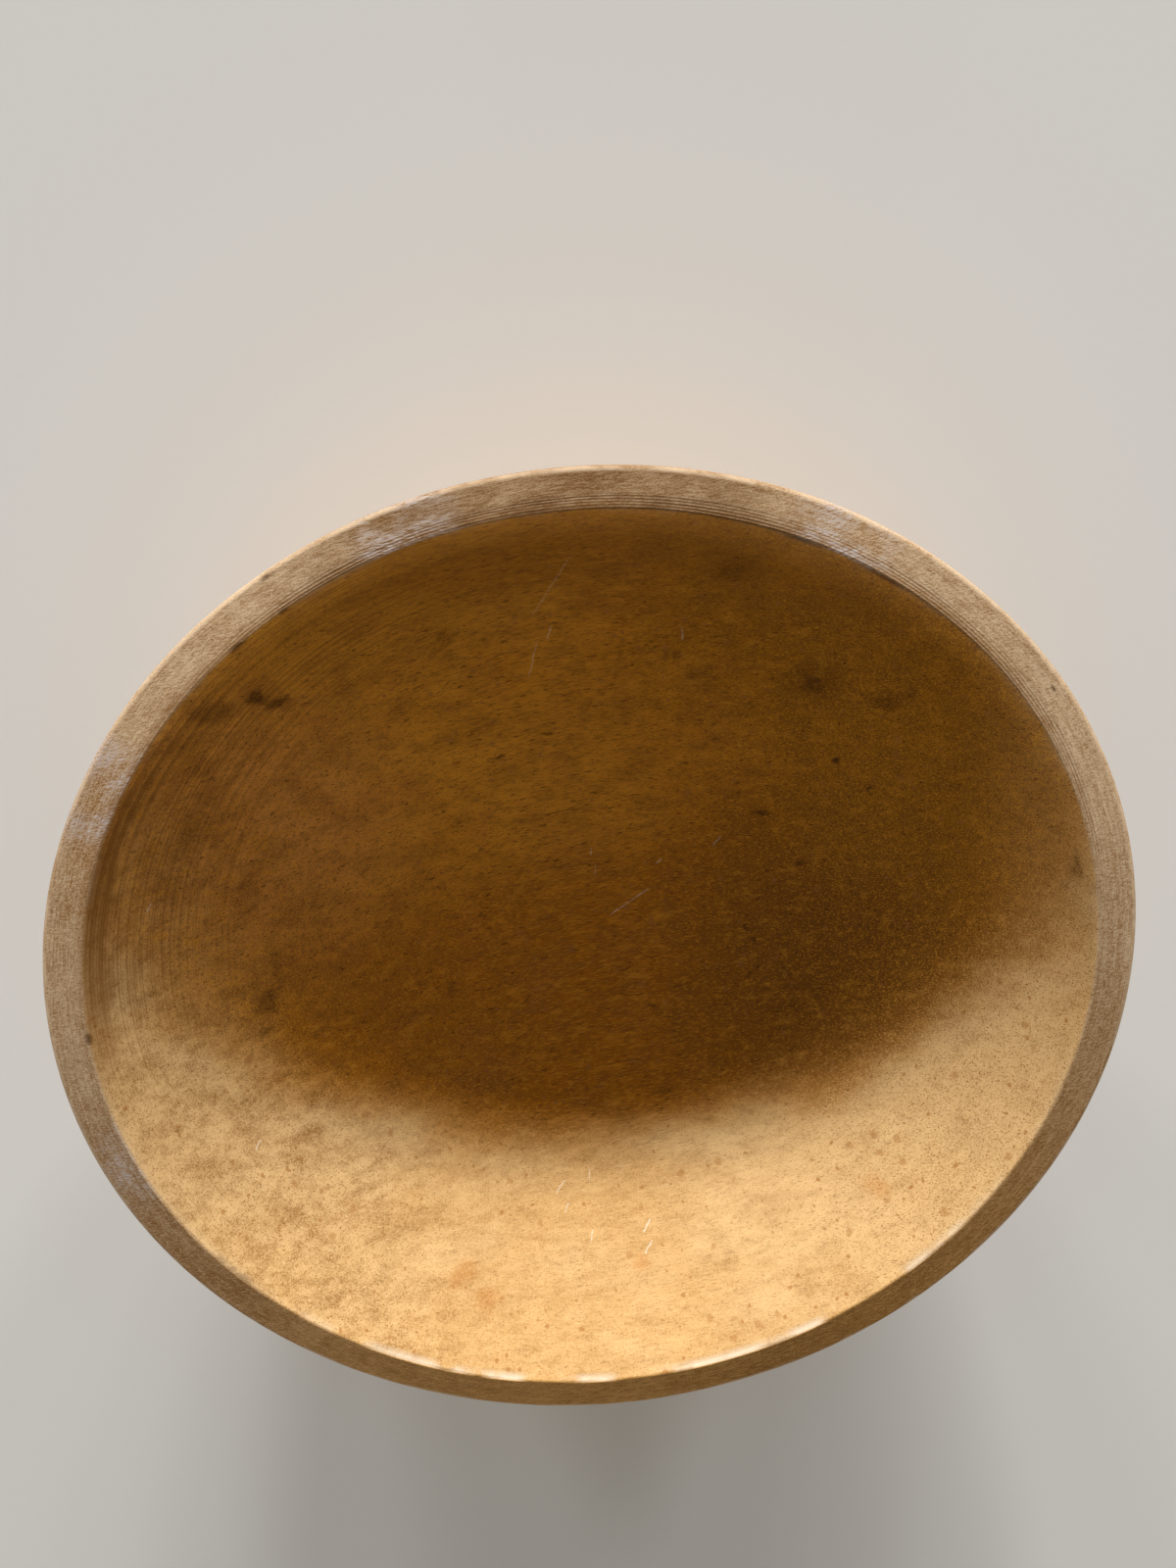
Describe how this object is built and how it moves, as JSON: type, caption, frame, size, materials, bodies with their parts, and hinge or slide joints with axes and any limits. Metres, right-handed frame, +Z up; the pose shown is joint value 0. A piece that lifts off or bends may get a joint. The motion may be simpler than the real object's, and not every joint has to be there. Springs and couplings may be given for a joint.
{
  "type": "wooden bowl",
  "caption": "Wide shallow bowl turned from one piece of wood and dried to an oval, with a broad sloping rim, a smooth round hollow and a flat foot, for dough, bread or fruit.",
  "frame": {"origin": "middle of the underside, on the plane that the bowl stands on", "axes": "+X along the grain, which is the long way across the rim; +Y across the grain; +Z up, out of the open mouth"},
  "size_m": [0.376, 0.339, 0.095],
  "materials": {
    "wood": "oiled and worn to a satin, honey brown with fine dark flecks along the grain and a paler, drier rim"
  },
  "bodies": {
    "root": {"bowl": "wood"}
  },
  "joints": []
}
